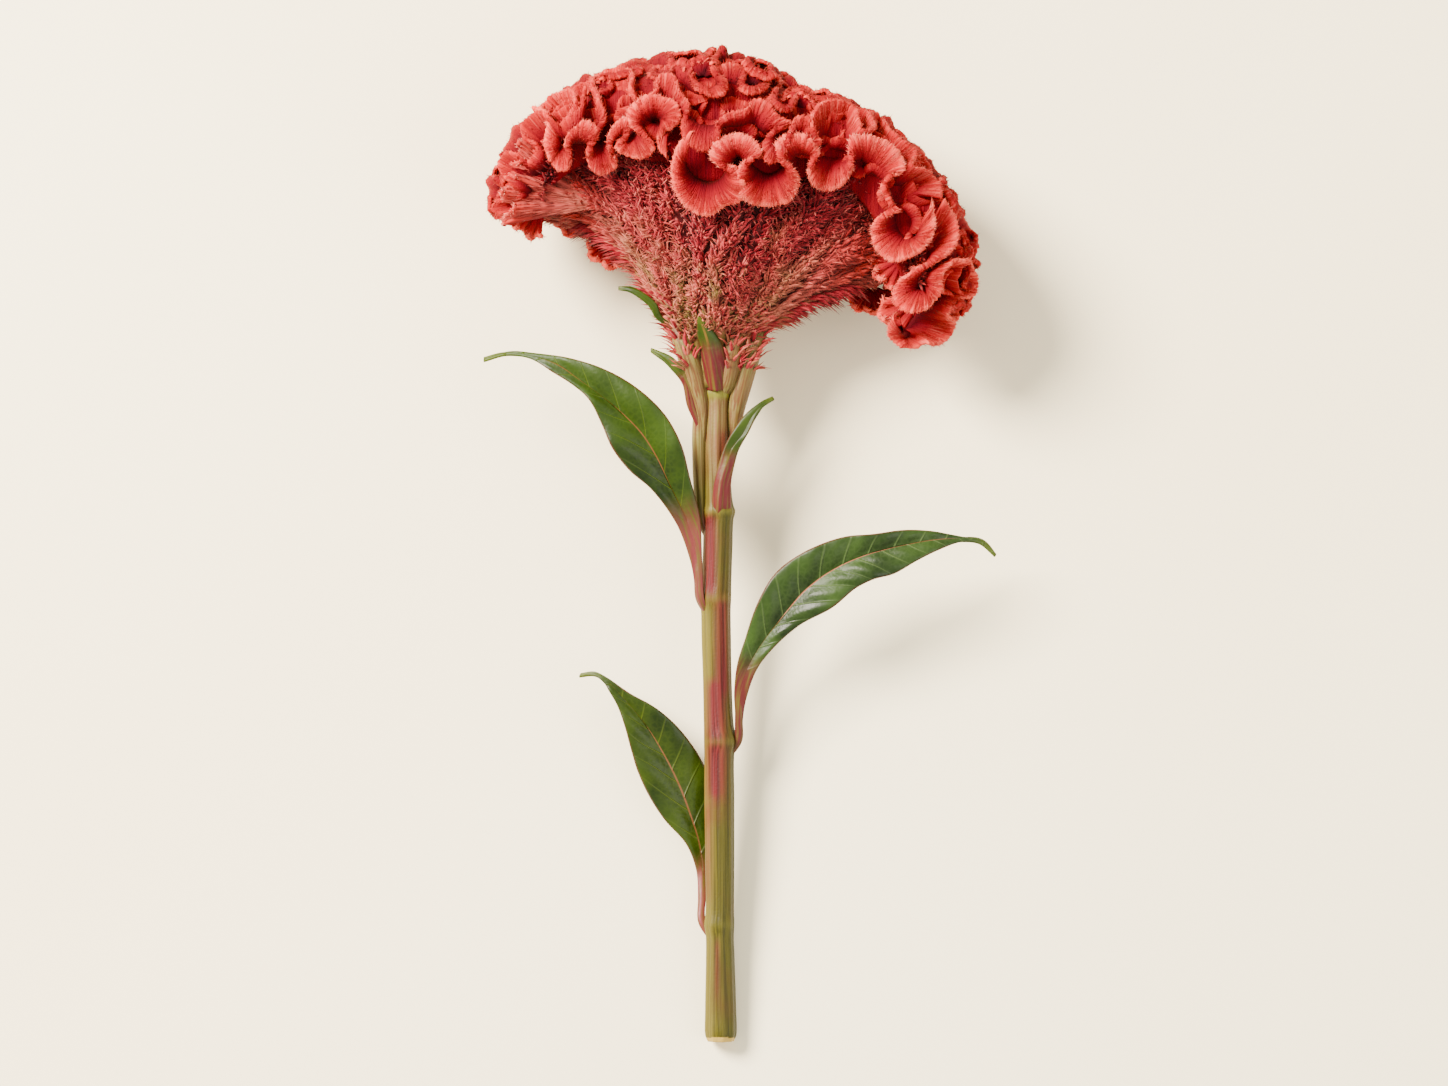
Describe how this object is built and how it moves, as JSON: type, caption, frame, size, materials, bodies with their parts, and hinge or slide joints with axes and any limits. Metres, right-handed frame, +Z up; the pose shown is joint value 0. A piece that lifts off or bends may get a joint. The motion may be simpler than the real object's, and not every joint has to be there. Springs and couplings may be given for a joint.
{
  "type": "cut cockscomb celosia stem",
  "caption": "Cut cockscomb celosia flower lying on its back: a ruffled coral-red crest over a bristly fan-shaped flank, on a ribbed green stem with slender drooping leaves.",
  "frame": {"origin": "on the surface that the plant lies on, under the middle of its bounding box", "axes": "+Z up off the surface, +Y along the stem from its cut end to the flower head, +X to the right as the front of the plant is seen from above"},
  "size_m": [0.1536, 0.2966, 0.0753],
  "materials": {
    "crest": "velvety",
    "flank": "bristly",
    "stem": "satin",
    "leaf_dark": "satin",
    "leaf_young": "satin",
    "bract": "satin"
  },
  "bodies": {
    "root": {"stem": "stem", "side_stalk_right": "stem", "side_stalk_left": "stem", "flower_crest": "crest", "flower_flank": "flank", "leaf_upper_left": "leaf_dark", "leaf_right": "leaf_dark", "leaf_lower_left": "leaf_dark", "small_leaf_right": "leaf_young", "small_leaf_left": "leaf_young", "tiny_leaf_left": "leaf_young", "front_bract": "bract"}
  },
  "joints": []
}
